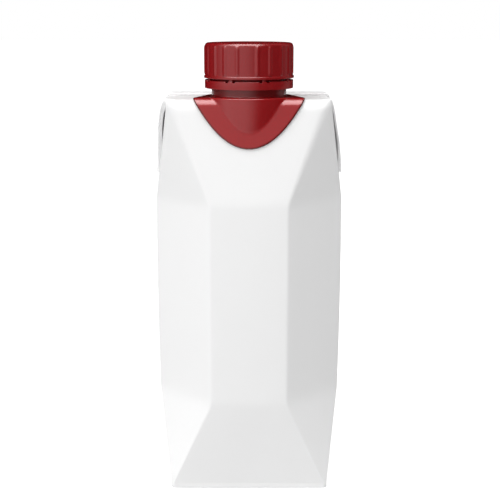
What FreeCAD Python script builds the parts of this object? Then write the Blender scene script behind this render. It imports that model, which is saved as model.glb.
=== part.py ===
import FreeCAD, Part
import math
import os

import Sketcher

# Water carton, in millimetres. The front, with the spout, faces -Y, +X is to the right of it and
# +Z is up. The origin is the middle of the square base. A square tube of coated board is folded
# into eight flat panels round the waist, so its four corners run out as long triangles above and
# below. The top is folded flat round a fin, whose two ends hang down the sides as ears.

Vector = FreeCAD.Vector

# name, value and meaning of each driving size
SIZES = (
    ("base_width", 57.0, "side of the square base"),
    ("top_width", 57.0, "side of the square top"),
    ("hip_width", 66.4, "width across the flats at the lower fold"),
    ("hip_flat", 27.2, "width of a flat at the lower fold"),
    ("shoulder_width", 67.1, "width across the flats at the upper fold"),
    ("shoulder_flat", 27.4, "width of a flat at the upper fold"),
    ("waist_bulge", 0.95, "how much wider the pack is half way between those folds"),
    ("hip_height", 34.3, "height of the lower fold"),
    ("shoulder_height", 106.8, "height of the upper fold"),
    ("front_height", 142.8, "height of the front top edge"),
    ("top_fall", 1.2, "how much lower the top is at the back"),
    ("corner_cut", 1.0, "how far each corner of the base and top is blunted"),
    ("fold_round", 24.0, "radius of the soft folds round the hip and the shoulder"),
    ("edge_round", 0.9, "radius of the folds round the base and top"),
    ("board", 0.42, "thickness of one layer of board"),
    ("base_rim", 2.0, "rim round the sunk fields of the base"),
    ("fin_width", 10.5, "width of the folded fin"),
    ("fin_shift", 0.0, "how far the fin's fold lies behind the middle of the top"),
    ("ear_gap", 0.35, "how far an ear's tip stands off its side panel"),
    ("ear_hook", 3.0, "how far an ear's fold reaches onto the top"),
    ("ear_lift", 0.12, "how far an ear's fold stands above the top"),
    ("ear_round", 1.1, "outer radius of an ear's fold"),
    ("neck_setback", 10.8, "from the front top edge back to the axis of the neck"),
    ("neck_radius", 13.1, "outer radius of the neck"),
    ("ledge", 2.4, "width of the ledge round the neck"),
    ("flange_rise", 1.0, "height of the flange above the front top edge"),
    ("collar_wall", 0.9, "thickness of the bib over the front panel"),
    ("collar_round", 2.4, "radius of the collar where it turns over the front edge"),
    ("bib_half", 19.6, "half width of the collar at the front top edge"),
    ("bib_drop", 16.8, "how far the bib hangs below the front top edge"),
    ("bib_round", 14.6, "radius of the bib's lower end"),
    ("boss_drop", 15.0, "how far the conical boss runs below the front top edge"),
    ("boss_taper", 14.0, "half angle of the boss in degrees"),
    ("band_lift", 2.5, "from the flange up to the tamper band"),
    ("band_tall", 2.9, "height of the tamper band"),
    ("band_clearance", 0.3, "gap between the tamper band and the neck"),
    ("bridge_tall", 0.8, "height of the bridges that hold the band to the cap"),
    ("bridge_wide", 1.5, "width of one bridge"),
    ("bridge_deep", 0.8, "radial depth of one bridge"),
    ("bridge_inset", 0.4, "how far a bridge sits inside the band's outer face"),
    ("bridge_count", 8, "number of bridges"),
    ("cap_tall", 11.9, "height of the screw cap"),
    ("cap_wall", 1.2, "thickness of the cap's side wall"),
    ("cap_roof", 1.3, "thickness of the cap's top"),
    ("cap_round", 1.2, "radius of the cap's upper edge"),
    ("cap_turn", -2.25, "how far the cap is screwed past square, in degrees"),
    ("thread_room", 0.9, "room for the thread between neck and cap"),
    ("lip_rise", 0.55, "how far the cap's lower lip stands out"),
    ("lip_tall", 1.2, "height of the cap's lower lip"),
    ("rib_rise", 0.3, "how far a grip rib stands out"),
    ("rib_wide", 0.9, "width of a grip rib"),
    ("rib_end", 0.2, "from the top of a rib to the cap's rounded edge"),
    ("rib_first", 13.0, "angle from the front of the cap to the first rib, in degrees"),
    ("rib_step", 17.1, "angle from one rib to the next, in degrees"),
    ("rib_count", 5, "ribs in each quarter of the cap"),
)

# places and sizes that follow from the driving ones, as expressions of the document
TOP_HALF = "sizes.top_width / 2"
TOP_MIDDLE = "(sizes.front_height - sizes.top_fall / 2)"
WAIST_WIDTH = "((sizes.hip_width + sizes.shoulder_width) / 2 + sizes.waist_bulge)"
WAIST_FLAT = "((sizes.hip_flat + sizes.shoulder_flat) / 2)"
WAIST_HEIGHT = "((sizes.hip_height + sizes.shoulder_height) / 2)"
HALF_WAIST = "((sizes.shoulder_height - sizes.hip_height) / 2)"
# the belly's arc takes up seven tenths of the way from the waist to each fold
BELLY_ROUND = f"(0.7 * {HALF_WAIST} * {HALF_WAIST} / (sizes.waist_bulge / 2))"
TOP_TILT = "atan(sizes.top_fall / sizes.top_width)"
PANEL_RISE = "(sizes.front_height - sizes.shoulder_height)"
PANEL_SLOPE = f"((sizes.shoulder_width - sizes.top_width) / 2 / {PANEL_RISE})"
NECK_PLACE = "-(sizes.top_width / 2 - sizes.neck_setback)"
FLANGE_TOP = "(sizes.front_height + sizes.flange_rise)"
BAND_BOTTOM = "(sizes.front_height + sizes.flange_rise + sizes.band_lift)"
CAP_BOTTOM = f"({BAND_BOTTOM} + sizes.band_tall + sizes.bridge_tall)"
CAP_RADIUS = "(sizes.neck_radius + sizes.thread_room + sizes.cap_wall)"
GRIP_RADIUS = "(sizes.neck_radius + sizes.thread_room + sizes.cap_wall + sizes.rib_rise)"
BOSS_RADIUS = "(sizes.neck_radius + sizes.ledge)"

doc = FreeCAD.newDocument("water_carton")


def fill_sheet():
    """Put the driving sizes into the spreadsheet, with an alias for each."""
    sheet = doc.addObject("Spreadsheet::Sheet", "sizes")
    for row, (name, value, meaning) in enumerate(SIZES, start=1):
        sheet.set(f"A{row}", name)
        sheet.set(f"B{row}", str(value))
        sheet.set(f"C{row}", meaning)
        sheet.setAlias(f"B{row}", name)
    doc.recompute()


def origin_plane(body, role):
    """The plane of a body's own origin that has the given role."""
    return next(plane for plane in body.Origin.OriginFeatures if plane.Role == role)


def bind(target, **expressions):
    """Bind properties to expressions; a double underscore stands for a dot."""
    for path, expression in expressions.items():
        target.setExpression(path.replace("__", "."), expression)


# --- sketches ---------------------------------------------------------------------------------


def round_off(before, corner, after, radius):
    """Start, centre and end of the arc that rounds a corner between two neighbours."""
    to_before = (before - corner).normalize()
    to_after = (after - corner).normalize()
    half_angle = to_before.getAngle(to_after) / 2
    reach = radius / math.tan(half_angle)
    centre = corner + (to_before + to_after).normalize() * (radius / math.sin(half_angle))
    return corner + to_before * reach, centre, corner + to_after * reach


def pin(sketch, element, point, x, y):
    """Hold a point of the sketch at two expressions measured from its origin."""
    for kind, expression in (("DistanceX", x), ("DistanceY", y)):
        value = float(sketch.evalExpression(expression))
        row = sketch.addConstraint(Sketcher.Constraint(kind, -1, 1, element, point, value))
        sketch.setExpression(f"Constraints[{row}]", expression)


def draw_outline(sketch, corners):
    """Draw a closed outline. Each corner is (x, y, radius), all expressions; radius may be None."""
    value = sketch.evalExpression
    places = [Vector(float(value(x)), float(value(y)), 0) for x, y, _ in corners]
    count = len(corners)
    cuts = []
    for i, (_, _, radius) in enumerate(corners):
        if radius is None:
            cuts.append((places[i], None, places[i]))
            continue
        size = float(sketch.evalExpression(radius))
        cuts.append(round_off(places[i - 1], places[i], places[(i + 1) % count], size))
    lines = []
    for i in range(count):
        segment = Part.LineSegment(cuts[i][2], cuts[(i + 1) % count][0])
        lines.append(sketch.addGeometry(segment, False))
    for i, (x, y, radius) in enumerate(corners):
        before, after = lines[i - 1], lines[i]
        if radius is None:
            sketch.addConstraint(Sketcher.Constraint("Coincident", before, 2, after, 1))
            pin(sketch, after, 1, x, y)
            continue
        add_corner_arc(sketch, before, after, cuts[i], radius)
        apex = sketch.addGeometry(Part.Point(places[i]), True)
        sketch.addConstraint(Sketcher.Constraint("PointOnObject", apex, 1, before))
        sketch.addConstraint(Sketcher.Constraint("PointOnObject", apex, 1, after))
        pin(sketch, apex, 1, x, y)


def add_corner_arc(sketch, before, after, cut, radius):
    """Join two lines of the sketch by an arc that is tangent to both. A sketch's arcs run anticlockwise."""
    start, centre, end = cut
    size = float(sketch.evalExpression(radius))
    middle = centre + ((start - centre) + (end - centre)).normalize() * size
    anticlockwise = (start - centre).cross(end - centre).z > 0
    ends = (start, end) if anticlockwise else (end, start)
    first, last = (1, 2) if anticlockwise else (2, 1)
    arc = sketch.addGeometry(Part.Arc(ends[0], middle, ends[1]), False)
    sketch.addConstraint(Sketcher.Constraint("Tangent", before, 2, arc, first))
    sketch.addConstraint(Sketcher.Constraint("Tangent", arc, last, after, 1))
    row = sketch.addConstraint(Sketcher.Constraint("Radius", arc, size))
    sketch.setExpression(f"Constraints[{row}]", radius)


def body_sketch(body, name, role, offset=None):
    """A sketch on one of the body's own planes, moved along the plane's normal by an expression."""
    sketch = body.newObject("Sketcher::SketchObject", name)
    sketch.AttachmentSupport = [(origin_plane(body, role), "")]
    sketch.MapMode = "FlatFace"
    if offset is not None:
        bind(sketch, AttachmentOffset__Base__z=offset)
        doc.recompute()
    return sketch


def free_sketch(name, axis, angle):
    """A sketch of the document that is turned from the ground plane about an axis."""
    sketch = doc.addObject("Sketcher::SketchObject", name)
    sketch.Placement = FreeCAD.Placement(Vector(), FreeCAD.Rotation(axis, angle))
    return sketch


def facing_front(name):
    """A sketch whose x runs along X and whose y runs up, seen from the front."""
    return free_sketch(name, Vector(1, 0, 0), 90)


def facing_side(name):
    """A sketch whose x runs along Y and whose y runs up, seen from the right."""
    return free_sketch(name, Vector(1, 1, 1), 120)


def extrude(name, sketch, length, symmetric=True):
    """A solid made by pushing a sketch along its normal."""
    solid = doc.addObject("Part::Extrusion", name)
    solid.Base = sketch
    solid.DirMode = "Normal"
    solid.Solid = True
    solid.Symmetric = symmetric
    bind(solid, LengthFwd=length)
    return solid


def combine(kind, name, first, second):
    """A boolean of two objects: Part::Cut or Part::Common."""
    result = doc.addObject(kind, name)
    result.Base = first
    result.Tool = second
    return result


def fuse(name, *parts):
    """Several objects joined into one solid."""
    result = doc.addObject("Part::MultiFuse", name)
    result.Shapes = list(parts)
    result.Refine = True
    return result


# --- carton: the folded panels ----------------------------------------------------------------

# width across the flats, width of one flat, height and crease radius of each fold, from the base up
SECTIONS = (
    ("sizes.base_width", "sizes.base_width - 2 * sizes.corner_cut", "0", "sizes.edge_round"),
    ("sizes.hip_width", "sizes.hip_flat", "sizes.hip_height", "sizes.fold_round"),
    (WAIST_WIDTH, WAIST_FLAT, WAIST_HEIGHT, BELLY_ROUND),
    ("sizes.shoulder_width", "sizes.shoulder_flat", "sizes.shoulder_height", "sizes.fold_round"),
    ("sizes.top_width", "sizes.top_width - 2 * sizes.corner_cut", "sizes.front_height", None),
)


def from_flats(width, flat):
    """Distance from the axis to the middle of a flat."""
    return f"({width}) / 2"


def from_facets(width, flat):
    """Distance from the axis to the middle of a corner facet."""
    return f"(({width}) + ({flat})) / 2 / sqrt(2)"


def half_silhouette(distance):
    """Right half of the pack's silhouette, from the base to a little above the top."""
    points = [(distance(width, flat), height, radius) for width, flat, height, radius in SECTIONS]
    (low, low_height, _), (high, high_height, _) = points[-2:]
    lean = f"({high} - {low}) / ({high_height} - {low_height})"
    points[-1] = (f"{high} + {lean} * sizes.top_fall", f"{high_height} + sizes.top_fall", None)
    return points


def mirrored(points):
    """A closed outline from its right half, which runs upwards."""
    left = [(f"-({x})", y, radius) for x, y, radius in reversed(points)]
    return points + left


def view(name, sketch, outline):
    """A long solid that shows the given outline when it is seen along the sketch's normal."""
    draw_outline(sketch, outline)
    return extrude(name, sketch, "4 * sizes.top_width")


def side_outline():
    """The silhouette from the side, where the top falls towards the back."""
    right_half = half_silhouette(from_flats)[:-1]
    top = [
        (TOP_HALF, "sizes.front_height - sizes.top_fall", "sizes.edge_round"),
        (f"-({TOP_HALF})", "sizes.front_height", "sizes.edge_round"),
    ]
    left_half = [(f"-({x})", y, radius) for x, y, radius in reversed(right_half)]
    return right_half + top + left_half


def shape_tube():
    """The folded tube: what its front, side and two diagonal silhouettes have in common."""
    views = [
        view("front_view", facing_front("front_silhouette"), mirrored(half_silhouette(from_flats))),
        view("side_view", facing_side("side_silhouette"), side_outline()),
    ]
    for name, turn in (("left", 45), ("right", -45)):
        sketch = facing_front(f"{name}_diagonal_silhouette")
        sketch.Placement = FreeCAD.Placement(Vector(), FreeCAD.Rotation(turn, 0, 90))
        views.append(view(f"{name}_diagonal_view", sketch, mirrored(half_silhouette(from_facets))))
    tube = doc.addObject("Part::MultiCommon", "folded_tube")
    tube.Shapes = views
    tube.Refine = True
    doc.recompute()
    return tube


def sink_base_fields(body):
    """Sink the two fields of the base that the folded ears and the fin leave in one layer."""
    edge = "(sizes.base_width / 2 - sizes.base_rim)"
    front = body_sketch(body, "front_field", "XY_Plane")
    draw_outline(front, [
        (f"-({edge} - sizes.base_rim)", f"-{edge}", None),
        (f"{edge} - sizes.base_rim", f"-{edge}", None),
        ("0", "-sizes.base_rim", None),
    ])
    back = body_sketch(body, "back_field", "XY_Plane")
    draw_outline(back, [
        (f"{edge} - sizes.base_rim", edge, None),
        (f"-({edge} - sizes.base_rim)", edge, None),
        ("-(sizes.fin_width - sizes.base_rim)", "sizes.fin_width", None),
        ("sizes.fin_width - sizes.base_rim", "sizes.fin_width", None),
    ])
    for sketch in (front, back):
        pocket = body.newObject("PartDesign::Pocket", f"sunk_{sketch.Name}")
        pocket.Profile = sketch
        pocket.Reversed = True
        bind(pocket, Length="2 * sizes.board")
        doc.recompute()


def make_panels():
    """The body of the pack without its top folds."""
    body = doc.addObject("PartDesign::Body", "panels")
    body.BaseFeature = shape_tube()
    doc.recompute()
    sink_base_fields(body)
    return body


# --- carton: the fin and the ears -------------------------------------------------------------


def make_top_folds():
    """The fin across the top and the two ears down the sides, drawn about the middle of the top."""
    layers = "2 * sizes.board"
    drop = TOP_HALF
    tip = f"({TOP_HALF} + {PANEL_SLOPE} * {drop} + sizes.ear_gap)"
    corner = f"({TOP_HALF} + sizes.ear_round * 0.8)"

    ear_section = facing_front("ear_section")
    draw_outline(ear_section, [
        (f"{TOP_HALF} - sizes.ear_hook", f"-{layers}", None),
        (f"{TOP_HALF}", f"-{layers}", None),
        (tip, f"-{drop}", None),
        (f"{tip} + {layers}", f"-{drop}", None),
        (corner, "sizes.ear_lift", "sizes.ear_round"),
        (f"{TOP_HALF} - sizes.ear_hook", "sizes.ear_lift", None),
    ])
    right_sheet = extrude("right_ear_sheet", ear_section, "sizes.top_width")
    left_sheet = doc.addObject("Part::Mirroring", "left_ear_sheet")
    left_sheet.Source = right_sheet
    left_sheet.Normal = Vector(1, 0, 0)
    sheets = fuse("ear_sheets", right_sheet, left_sheet)

    ear_outline = facing_side("ear_outline")
    draw_outline(ear_outline, [
        (f"-{TOP_HALF}", "sizes.ear_round", None),
        (f"-{TOP_HALF}", "-sizes.edge_round", None),
        ("0", f"-{drop} - sizes.edge_round", None),
        (TOP_HALF, "-sizes.edge_round", None),
        (TOP_HALF, "sizes.ear_round", None),
    ])
    ear_cutter = extrude("ear_cutter", ear_outline, "2 * sizes.top_width")
    ears = combine("Part::Common", "ears", sheets, ear_cutter)

    strip_section = facing_front("fin_section")
    draw_outline(strip_section, [
        (f"-{tip} - 2 * {layers}", f"-{drop}", None),
        (f"-{tip} - {layers} / 2", f"-{drop}", None),
        (f"-{corner} + {layers} / 2", f"-{layers} / 2", None),
        (f"{corner} - {layers} / 2", f"-{layers} / 2", None),
        (f"{tip} + {layers} / 2", f"-{drop}", None),
        (f"{tip} + 2 * {layers}", f"-{drop}", None),
        (f"{corner} + {layers}", f"sizes.ear_lift + {layers}", f"sizes.ear_round + {layers}"),
        (f"-{corner} - {layers}", f"sizes.ear_lift + {layers}", f"sizes.ear_round + {layers}"),
    ])
    fin = extrude("fin_strip", strip_section, "sizes.fin_width")
    bind(fin, Placement__Base__y="sizes.fin_shift + sizes.fin_width / 2")

    folds = fuse("top_folds", ears, fin)
    folds.Placement = FreeCAD.Placement(Vector(), FreeCAD.Rotation(Vector(1, 0, 0), -1))
    bind(folds, Placement__Base__z=TOP_MIDDLE, Placement__Rotation__Angle=f"-{TOP_TILT}")
    return folds


# --- spout: collar, tamper band and cap -------------------------------------------------------


def make_collar(carton):
    """The moulded collar that is bonded over the front top edge, with its boss and neck."""
    face_turn = f"sqrt(1 + {PANEL_SLOPE} * {PANEL_SLOPE})"
    front_at_flange = f"({TOP_HALF} - {PANEL_SLOPE} * sizes.flange_rise + sizes.collar_wall * {face_turn})"
    hang = "(sizes.bib_drop * 1.5)"
    front_at_hang = f"({front_at_flange} + {PANEL_SLOPE} * ({hang} + sizes.flange_rise))"
    inside = "(sizes.top_width / 3)"

    side_section = facing_side("collar_side_section")
    draw_outline(side_section, [
        (f"-{inside}", f"sizes.front_height - {hang}", None),
        ("0", f"sizes.front_height - {hang}", None),
        ("0", FLANGE_TOP, None),
        (f"-{front_at_flange}", FLANGE_TOP, "sizes.collar_round"),
        (f"-{front_at_hang}", f"sizes.front_height - {hang}", None),
    ])
    blank = extrude("collar_blank", side_section, "sizes.top_width")

    bib_cutter = extrude("bib_cutter", draw_bib(), "sizes.top_width")
    bind(bib_cutter, Placement__Base__y=f"-({TOP_HALF}) - sizes.top_width / 2 + sizes.edge_round")
    flange_cutter = extrude("flange_cutter", draw_flange(), "2 * (sizes.flange_rise + sizes.top_fall)")
    bind(flange_cutter, Placement__Base__z="sizes.front_height")
    cutter = fuse("collar_cutter", bib_cutter, flange_cutter)
    saddle = combine("Part::Common", "saddle", blank, cutter)

    boss = doc.addObject("Part::Cone", "boss")
    bind(boss, Radius2=BOSS_RADIUS, Height="sizes.boss_drop + sizes.flange_rise",
         Radius1=f"{BOSS_RADIUS} - (sizes.boss_drop + sizes.flange_rise) * tan(sizes.boss_taper * 1 deg)",
         Placement__Base__y=NECK_PLACE, Placement__Base__z="sizes.front_height - sizes.boss_drop")
    neck = doc.addObject("Part::Cylinder", "neck")
    bind(neck, Radius="sizes.neck_radius",
         Height=f"{CAP_BOTTOM} + sizes.cap_tall - sizes.cap_roof - sizes.front_height",
         Placement__Base__y=NECK_PLACE, Placement__Base__z="sizes.front_height")
    moulding = fuse("collar_moulding", saddle, boss, neck)
    return combine("Part::Cut", "spout_collar", moulding, carton)


def tangent_depth(centre, radius):
    """Where the two sides of the collar's outline would meet beyond its round end.

    The sides start bib_half either side of the middle. They touch a circle of the given radius,
    whose centre lies the given distance from the line they start on.
    """
    half = "sizes.bib_half"
    spare = f"({half} * {half} - {radius} * {radius})"
    root = f"sqrt({centre} * {centre} + {spare})"
    return f"({half} * ({half} * {centre} + {radius} * {root}) / {spare})"


def draw_bib():
    """The bib seen from the front: straight sides that run into a round lower end."""
    sketch = facing_front("bib_outline")
    depth = tangent_depth("(sizes.bib_drop - sizes.bib_round)", "sizes.bib_round")
    above = f"{FLANGE_TOP} + sizes.flange_rise"
    draw_outline(sketch, [
        ("-sizes.bib_half", above, None),
        ("-sizes.bib_half", "sizes.front_height", None),
        ("0", f"sizes.front_height - {depth}", "sizes.bib_round"),
        ("sizes.bib_half", "sizes.front_height", None),
        ("sizes.bib_half", above, None),
    ])
    return sketch


def draw_flange():
    """The flange seen from above: from the bib's corners it closes round the neck."""
    sketch = free_sketch("flange_outline", Vector(0, 0, 1), 0)
    front = f"({TOP_HALF} - sizes.edge_round)"
    depth = tangent_depth("(sizes.neck_setback - sizes.edge_round)", BOSS_RADIUS)
    draw_outline(sketch, [
        ("sizes.bib_half", f"-{front}", None),
        ("0", f"{depth} - {front}", BOSS_RADIUS),
        ("-sizes.bib_half", f"-{front}", None),
    ])
    return sketch


def revolve(body, name, corners):
    """A turned piece: the outline, right of the axis, swept once round it."""
    sketch = body_sketch(body, f"{name}_outline", "XZ_Plane")
    draw_outline(sketch, corners)
    feature = body.newObject("PartDesign::Revolution", name)
    feature.Profile = sketch
    feature.ReferenceAxis = (sketch, ["V_Axis"])
    feature.Angle = 360
    doc.recompute()
    return feature


def stand_on_neck(body, height):
    """Put a turned piece on the axis of the neck at a height."""
    bind(body, Placement__Base__y=NECK_PLACE, Placement__Base__z=height)


def make_band():
    """The tamper band, with the thin bridges that hold it to the cap until it is first opened."""
    body = doc.addObject("PartDesign::Body", "tamper_band")
    inner = "sizes.neck_radius + sizes.band_clearance"
    revolve(body, "ring", [
        (inner, "0", None),
        (GRIP_RADIUS, "0", None),
        (GRIP_RADIUS, "sizes.band_tall", None),
        (inner, "sizes.band_tall", None),
    ])
    bridge_face = f"({GRIP_RADIUS} - sizes.bridge_inset)"
    sketch = body_sketch(body, "bridge_outline", "XY_Plane", "sizes.band_tall")
    draw_outline(sketch, [
        ("-sizes.bridge_wide / 2", f"-{bridge_face}", None),
        ("sizes.bridge_wide / 2", f"-{bridge_face}", None),
        ("sizes.bridge_wide / 2", f"-{bridge_face} + sizes.bridge_deep", None),
        ("-sizes.bridge_wide / 2", f"-{bridge_face} + sizes.bridge_deep", None),
    ])
    bridge = body.newObject("PartDesign::Pad", "bridge")
    bridge.Profile = sketch
    bind(bridge, Length="sizes.bridge_tall")
    doc.recompute()
    pattern = body.newObject("PartDesign::PolarPattern", "bridges")
    pattern.Originals = [bridge]
    pattern.Axis = (sketch, ["N_Axis"])
    pattern.Angle = 360
    bind(pattern, Occurrences="sizes.bridge_count")
    body.Tip = pattern
    stand_on_neck(body, BAND_BOTTOM)
    return body


def make_cap():
    """The screw cap: a cup that seats on the neck, with a lip and grip ribs in four quarters."""
    body = doc.addObject("PartDesign::Body", "screw_cap")
    bore = "sizes.neck_radius + sizes.thread_room"
    lip = f"{CAP_RADIUS} + sizes.lip_rise"
    revolve(body, "cup", [
        (bore, "0", None),
        (lip, "0", None),
        (lip, "sizes.lip_tall", None),
        (CAP_RADIUS, "sizes.lip_tall", None),
        (CAP_RADIUS, "sizes.cap_tall", "sizes.cap_round"),
        ("0", "sizes.cap_tall", None),
        ("0", "sizes.cap_tall - sizes.cap_roof", None),
        (bore, "sizes.cap_tall - sizes.cap_roof", None),
    ])
    sketch = body_sketch(body, "rib_outline", "XY_Plane", "sizes.lip_tall")
    turn = FreeCAD.Rotation(Vector(0, 0, 1), 1)
    sketch.AttachmentOffset = FreeCAD.Placement(sketch.AttachmentOffset.Base, turn)
    bind(sketch, AttachmentOffset__Rotation__Angle="sizes.rib_first * 1 deg")
    draw_outline(sketch, [
        ("-sizes.rib_wide / 2", f"-{GRIP_RADIUS}", None),
        ("sizes.rib_wide / 2", f"-{GRIP_RADIUS}", None),
        ("sizes.rib_wide / 2", f"-{CAP_RADIUS} + sizes.cap_wall / 2", None),
        ("-sizes.rib_wide / 2", f"-{CAP_RADIUS} + sizes.cap_wall / 2", None),
    ])
    rib = body.newObject("PartDesign::Pad", "rib")
    rib.Profile = sketch
    bind(rib, Length="sizes.cap_tall - sizes.lip_tall - sizes.cap_round - sizes.rib_end")
    doc.recompute()
    repeat_ribs(body, rib, sketch)
    stand_on_neck(body, CAP_BOTTOM)
    body.Placement = FreeCAD.Placement(body.Placement.Base, FreeCAD.Rotation(Vector(0, 0, 1), 1))
    bind(body, Placement__Rotation__Angle="sizes.cap_turn * 1 deg")
    return body


def repeat_ribs(body, rib, sketch):
    """Repeat the rib round a quarter of the cap, then mirror that quarter twice."""
    several = body.newObject("PartDesign::MultiTransform", "ribs")
    several.Originals = [rib]
    body.Tip = several
    steps = []
    quarter = body.newObject("PartDesign::PolarPattern", "quarter_of_ribs")
    quarter.Axis = (sketch, ["N_Axis"])
    bind(quarter, Occurrences="sizes.rib_count", Angle="sizes.rib_step * (sizes.rib_count - 1) * 1 deg")
    steps.append(quarter)
    for name, role in (("ribs_left_and_right", "YZ_Plane"), ("ribs_front_and_back", "XZ_Plane")):
        mirror = body.newObject("PartDesign::Mirrored", name)
        mirror.MirrorPlane = (origin_plane(body, role), [""])
        steps.append(mirror)
    several.Transformations = steps
    body.Tip = several
    doc.recompute()


# --- document ---------------------------------------------------------------------------------


def check(pieces):
    """Stop if an object failed, or if a piece isn't one valid solid."""
    for item in doc.Objects:
        if "Invalid" in item.State or "Error" in item.State:
            raise RuntimeError(f"{item.Label} failed: {item.State}")
    for piece in pieces:
        shape = piece.Shape
        if shape.isNull() or not shape.isValid() or len(shape.Solids) != 1:
            raise RuntimeError(f"{piece.Label} isn't one valid solid")


def main():
    fill_sheet()
    panels = make_panels()
    carton = fuse("carton", panels, make_top_folds())
    collar = make_collar(carton)
    band = make_band()
    cap = make_cap()
    pieces = (carton, collar, band, cap)
    for piece, label in zip(pieces, ("carton", "spout_collar", "tamper_band", "screw_cap")):
        piece.Label = label
    doc.recompute()
    check(pieces)
    os.makedirs("parts", exist_ok=True)
    for piece in pieces:
        piece.Shape.exportStep(f"parts/{piece.Label}.step")
        box = piece.Shape.BoundBox
        print(f"{piece.Label}: {piece.Shape.Volume / 1000:.1f} cm3,"
              f" x {box.XMin:.2f} to {box.XMax:.2f}, y {box.YMin:.2f} to {box.YMax:.2f},"
              f" z {box.ZMin:.2f} to {box.ZMax:.2f}")


main()
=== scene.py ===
"""Water carton: a white folded board pack with a red moulded spout and a ribbed screw cap.

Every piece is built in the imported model's frame: +Z up, the spout at the front towards -Y, and the
origin in the middle of the base. Sizes are in millimetres, and meshes are made in metres.
"""
import logging
import math
from collections.abc import Callable, Sequence
from dataclasses import dataclass, field
from enum import Enum

import bmesh
import bpy
import numpy as np
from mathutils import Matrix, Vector
from mathutils.geometry import delaunay_2d_cdt


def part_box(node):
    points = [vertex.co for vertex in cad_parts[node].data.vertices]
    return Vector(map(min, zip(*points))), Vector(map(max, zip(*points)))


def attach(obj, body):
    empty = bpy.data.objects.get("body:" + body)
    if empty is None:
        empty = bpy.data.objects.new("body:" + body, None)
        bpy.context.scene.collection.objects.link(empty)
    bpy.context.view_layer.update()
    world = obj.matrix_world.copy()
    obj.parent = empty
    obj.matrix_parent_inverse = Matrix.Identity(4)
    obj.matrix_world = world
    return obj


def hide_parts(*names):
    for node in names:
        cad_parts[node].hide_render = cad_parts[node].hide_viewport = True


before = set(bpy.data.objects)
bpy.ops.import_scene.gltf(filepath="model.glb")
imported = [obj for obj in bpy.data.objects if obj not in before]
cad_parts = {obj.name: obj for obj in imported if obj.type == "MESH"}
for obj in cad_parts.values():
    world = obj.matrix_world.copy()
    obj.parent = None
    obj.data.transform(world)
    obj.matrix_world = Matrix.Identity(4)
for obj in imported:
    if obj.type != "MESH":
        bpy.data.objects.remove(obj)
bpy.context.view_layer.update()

MM = 0.001
WELD = 0.002  # points closer than this, in millimetres, are one
TINY = 1e-4  # a length or an angle that counts as none
OVERLAP = 0.1  # how deep a folded layer sinks into what lies under it, in millimetres
BODY = "root"
log = logging.getLogger("water_carton")

Array = np.ndarray
Colour = tuple[float, float, float]


# --- meshes -----------------------------------------------------------------------------------


class Shading(Enum):
    """How a piece's faces are shaded."""

    SMOOTH = "smooth"
    CREASED = "creased"


def make_piece(name: str, points: Array, faces: Sequence[Sequence[int]], material: bpy.types.Material,
               shading: Shading = Shading.SMOOTH, crease_angle: float = 40.0) -> bpy.types.Object:
    """Make a mesh object from points in millimetres.

    Args:
        name: the object's name.
        points: one row of x, y and z for each point.
        faces: the corners of each face, as rows of the points.
        material: what the piece is made of.
        shading: smooth all over, or with its sharp edges kept.
        crease_angle: the angle in degrees above which an edge stays sharp.

    Returns:
        The new object, linked to the scene, with its faces turned outwards.
    """
    mesh = bpy.data.meshes.new(name)
    mesh.from_pydata((np.asarray(points) * MM).tolist(), [], [list(map(int, face)) for face in faces])
    built = bmesh.new()
    built.from_mesh(mesh)
    bmesh.ops.remove_doubles(built, verts=built.verts, dist=WELD * MM)
    bmesh.ops.recalc_face_normals(built, faces=built.faces)
    built.to_mesh(mesh)
    built.free()
    piece = bpy.data.objects.new(name, mesh)
    bpy.context.scene.collection.objects.link(piece)
    mesh.materials.append(material)
    mesh.shade_smooth()
    if shading is Shading.CREASED:
        mesh.set_sharp_from_angle(angle=math.radians(crease_angle))
    return piece


def loft(rings: Sequence[Array], first: bool = True, last: bool = True) -> tuple[Array, list[list[int]]]:
    """Skin a row of closed rings that all have the same number of points.

    Args:
        rings: the rings in order.
        first: close the first ring with a fan.
        last: close the last ring with a fan.

    Returns:
        The points and the faces.
    """
    count = len(rings[0])
    points = np.concatenate(rings)
    faces = []
    for row in range(len(rings) - 1):
        low, high = row * count, (row + 1) * count
        for i in range(count):
            j = (i + 1) % count
            faces.append([low + i, low + j, high + j, high + i])
    for wanted, ring_start, ring in ((first, 0, rings[0]), (last, (len(rings) - 1) * count, rings[-1])):
        if wanted:
            middle = len(points)
            points = np.vstack([points, np.mean(ring, axis=0)])
            faces += [[ring_start + i, ring_start + (i + 1) % count, middle] for i in range(count)]
    return points, faces


def soften(corners: Sequence[tuple[float, float, float]], steps: int = 10) -> Array:
    """Round the corners of an open line.

    Args:
        corners: the two coordinates of each corner, and the radius there; 0 leaves it sharp.
        steps: the number of steps round each corner.

    Returns:
        One row of two coordinates for each point of the line.
    """
    line = [np.array(corners[0][:2])]
    for before, corner, after in zip(corners, corners[1:], corners[2:]):
        here = np.array(corner[:2])
        back = np.array(before[:2]) - here
        ahead = np.array(after[:2]) - here
        back, ahead = back / np.linalg.norm(back), ahead / np.linalg.norm(ahead)
        half = math.acos(np.clip(back @ ahead, -1, 1)) / 2
        if corner[2] <= 0 or half > math.pi / 2 - TINY:
            line.append(here)
            continue
        centre = here + (back + ahead) / np.linalg.norm(back + ahead) * corner[2] / math.sin(half)
        start = here + back * corner[2] / math.tan(half) - centre
        end = here + ahead * corner[2] / math.tan(half) - centre
        turn = math.acos(np.clip(start @ end / corner[2] ** 2, -1, 1))
        for t in np.linspace(0, 1, steps + 1):
            blend = (math.sin((1 - t) * turn) * start + math.sin(t * turn) * end) / math.sin(turn)
            line.append(centre + blend)
    line.append(np.array(corners[-1][:2]))
    return np.array(line)


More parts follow.
